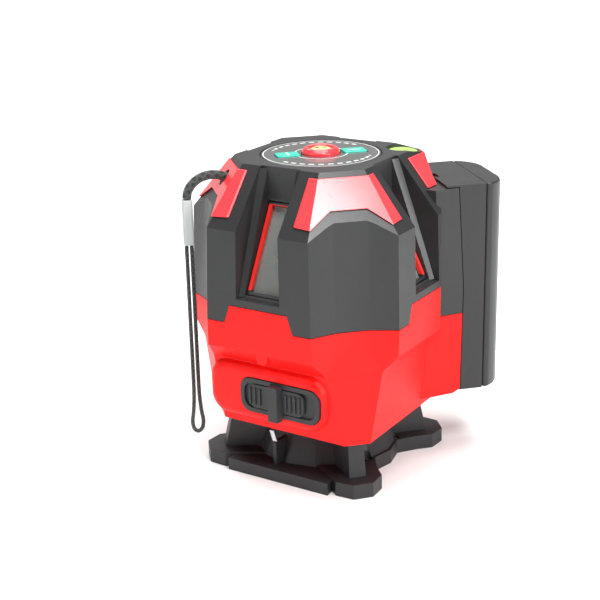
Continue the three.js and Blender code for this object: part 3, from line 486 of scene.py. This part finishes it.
def sweptTube(path, radius, name, threadPitch):
    # a smooth tube along the path, with its ends closed, and a UV map in thread pitches
    points = [Vector(q) * mm for q in path]
    count = len(points)
    sides, steps = strapLook["sides"], strapLook["stepsPerSpan"]
    fine = []
    for i in range(count - 1):
        p0, p1, p2, p3 = (points[max(i - 1, 0)], points[i], points[i + 1], points[min(i + 2, count - 1)])
        for k in range(steps):
            t = k / steps
            fine.append(0.5 * ((2 * p1) + (p2 - p0) * t + (2 * p0 - 5 * p1 + 4 * p2 - p3) * t * t
                               + (3 * p1 - p0 - 3 * p2 + p3) * t ** 3))
    fine.append(points[-1])
    bm = bmesh.new()
    uv = bm.loops.layers.uv.new("UVMap")
    start = bmesh.ops.create_circle(bm, cap_ends=False, segments=sides, radius=radius * mm)["verts"]
    side = Vector((0, 1, 0))
    def place(verts, at, ahead):
        for i, v in enumerate(verts):
            a = 2 * pi * i / sides
            v.co = at + radius * mm * (cos(a) * ahead.cross(side) + sin(a) * side)
    last = len(fine) - 1
    directions = [(fine[min(i + 1, last)] - fine[max(i - 1, 0)]).normalized() for i in range(last + 1)]
    place(start, fine[0], directions[0])
    rings = [start]
    for i in range(1, len(fine)):
        ring = rings[-1]
        ringEdges = [bm.edges.get((ring[k], ring[(k + 1) % sides])) for k in range(sides)]
        made = bmesh.ops.extrude_edge_only(bm, edges=ringEdges)
        verts = [g for g in made["geom"] if isinstance(g, bmesh.types.BMVert)]
        order = sorted(verts, key=lambda v: min(range(sides), key=lambda k: (ring[k].co - v.co).length))
        place(order, fine[i], directions[i])
        rings.append(order)
    bm.verts.index_update()
    along = {}
    length = 0
    for i, ring in enumerate(rings):
        length += (fine[i] - fine[i - 1]).length if i else 0
        for k, v in enumerate(ring):
            along[v.index] = (length / (threadPitch * mm), k)
    for face in bm.faces:
        ks = [along[loop.vert.index][1] for loop in face.loops]
        wraps = max(ks) - min(ks) > sides / 2
        for loop, k in zip(face.loops, ks):
            loop[uv].uv = (along[loop.vert.index][0], (sides if wraps and k == 0 else k) / sides)
    for ring in (rings[0], rings[-1]):
        bm.faces.new(ring)
    bmesh.ops.recalc_face_normals(bm, faces=bm.faces)
    return finished(bm, name, "head", "braid", 60)

strapLoop = sweptTube(loopPath, strapLook["strandRadius"], "strapLoop", 2.2)
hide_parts("strap_loop")
strapArch = sweptTube(archPath, strapLook["archRadius"], "strapArch", 3.4)
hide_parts("strap_arch")
strapClasp = softened("strap_clasp", "head", "clasp", strapLook["claspEdge"], 3)
loopLength = sum((Vector(a) - Vector(b)).length for a, b in zip(loopPath, loopPath[1:])) * mm
[tuple(c * mm for c in q) for q in loopPath]
print("strap ready")

# ---- housing, base and pack

edgeWidths = {"shell": 0.55, "accent": 0.28, "trim": 0.2, "base": 0.7, "pack": 0.7, "small": 0.3}

softened("upper_shell", "head", "charcoal", edgeWidths["shell"], 3)
softened("lower_shell", "head", "redBody", edgeWidths["shell"], 3)
softened("base_plate", "base", "blackPlastic", edgeWidths["base"], 3)
for side in ("front", "left", "back", "right"):
    softened("accent_" + side, "head", "redAccent", edgeWidths["accent"], 2)
for corner in ("right_back", "left_back", "left_front", "right_front"):
    softened("window_trim_" + corner, "head", "windowFrame", edgeWidths["trim"], 2)
    dress("window_glass_" + corner, "windowGlass")
softened("pack_tray", "battery", "charcoal", edgeWidths["pack"], 3)
softened("pack_cover", "battery", "charcoal", edgeWidths["pack"], 3)
softened("turntable_hub", "head", "blackPlastic", edgeWidths["small"], 2)
print("housing ready")

# ---- keypad, lock and vial

softened("label_disc", "head", "labelPlate", 0.2, 2)
softened("vertical_key", "vertical_key", "verticalTop", 0.25, 2)
softened("horizontal_key", "horizontal_key", "horizontalTop", 0.25, 2)
softened("dome_button", "dome", "redAccent", 0.4, 3)
dress("dome_lens", "domeLamp")
softened("lock_bezel", "head", "blackPlastic", 0.4, 3)
softened("lock_slider", "lock", "blackPlastic", 0.3, 3)
dress("vial_body", "vialLiquid")
dress("vial_lens", "vialGlass")

# ---- rivets in the base

rivetLook = {"spots": [(27, -11), (11, -27), (-11, 27), (-27, 11)], "radius": 1.3, "low": 2.5, "high": 5.5}

def rivets():
    bm = bmesh.new()
    radius = rivetLook["radius"] * mm
    low, high = rivetLook["low"] * mm, rivetLook["high"] * mm
    for x, y in rivetLook["spots"]:
        bmesh.ops.create_cone(bm, cap_ends=True, segments=24, radius1=radius, radius2=radius,
                              depth=high - low,
                              matrix=Matrix.Translation((x * mm, y * mm, (low + high) / 2)))
    rims = [e for e in bm.edges if abs(e.calc_face_angle(0)) > radians(40)]
    bmesh.ops.bevel(bm, geom=rims, offset=0.4 * mm, offset_type="OFFSET", segments=3, profile=0.5,
                    affect="EDGES", clamp_overlap=True, material=-1)
    return finished(bm, "baseRivets", "base", "steel", 50)

rivets()

# ---- inside and underside

inner = {
    "steel": ["centre_screw", "index_pointer", "shell_screw_1", "shell_screw_2", "shell_screw_3",
              "shell_screw_4", "magnet_base", "strap_pin"],
    "brass": ["tripod_bush", "gimbal_ring", "laser_left_front", "laser_right_front", "laser_upright",
              "balance_weight"],
    "aluminium": ["gimbal_bracket", "pendulum_core", "lock_fork"],
    "copper": ["damper_disc"],
    "board": ["key_board", "main_board"],
    "cellWrap": ["cell_front", "cell_back"],
    "innerPlastic": ["contact_block"],
    "rubberPad": ["base_pad_1", "base_pad_2", "base_pad_3", "base_pad_4"],
    "windowGlass": ["cone_left_front", "cone_right_front", "cone_upright"],
}
for finish, names in inner.items():
    for name in names:
        dress(name, finish)
print("insides ready")
